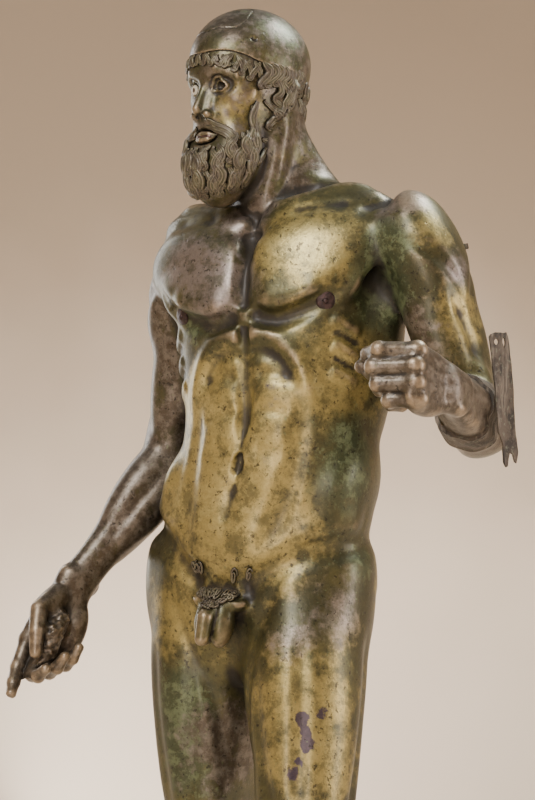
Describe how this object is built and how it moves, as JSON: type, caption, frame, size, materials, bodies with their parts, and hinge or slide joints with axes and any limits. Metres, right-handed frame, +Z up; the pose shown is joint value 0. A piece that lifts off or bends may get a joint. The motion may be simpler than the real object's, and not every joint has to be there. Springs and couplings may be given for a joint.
{
  "type": "warrior garden statue",
  "caption": "Standing bearded warrior in cast bronze with a close cap, one hand lowered and one raised, on a low square base.",
  "frame": {"origin": "centre of the underside of the base", "axes": "+Z up; the statue faces -Y, with its own left side at +X"},
  "size_m": [0.8391, 0.62, 2.0603],
  "materials": {
    "bronze": "patinated bronze, golden ochre to olive green and dark brown, satin",
    "dark_bronze": "dark brown bronze sheet, dull",
    "copper": "dark red copper, satin",
    "inlay": "pale stone inlay, satin",
    "stone": "honed grey stone"
  },
  "bodies": {
    "root": {"figure": "bronze", "right_nipple": "copper", "left_nipple": "copper", "lips": "copper", "right_eye": "inlay", "shield_cuff": "dark_bronze", "shield_strap": "dark_bronze", "arm_peg": "dark_bronze", "base": "stone"}
  },
  "joints": []
}
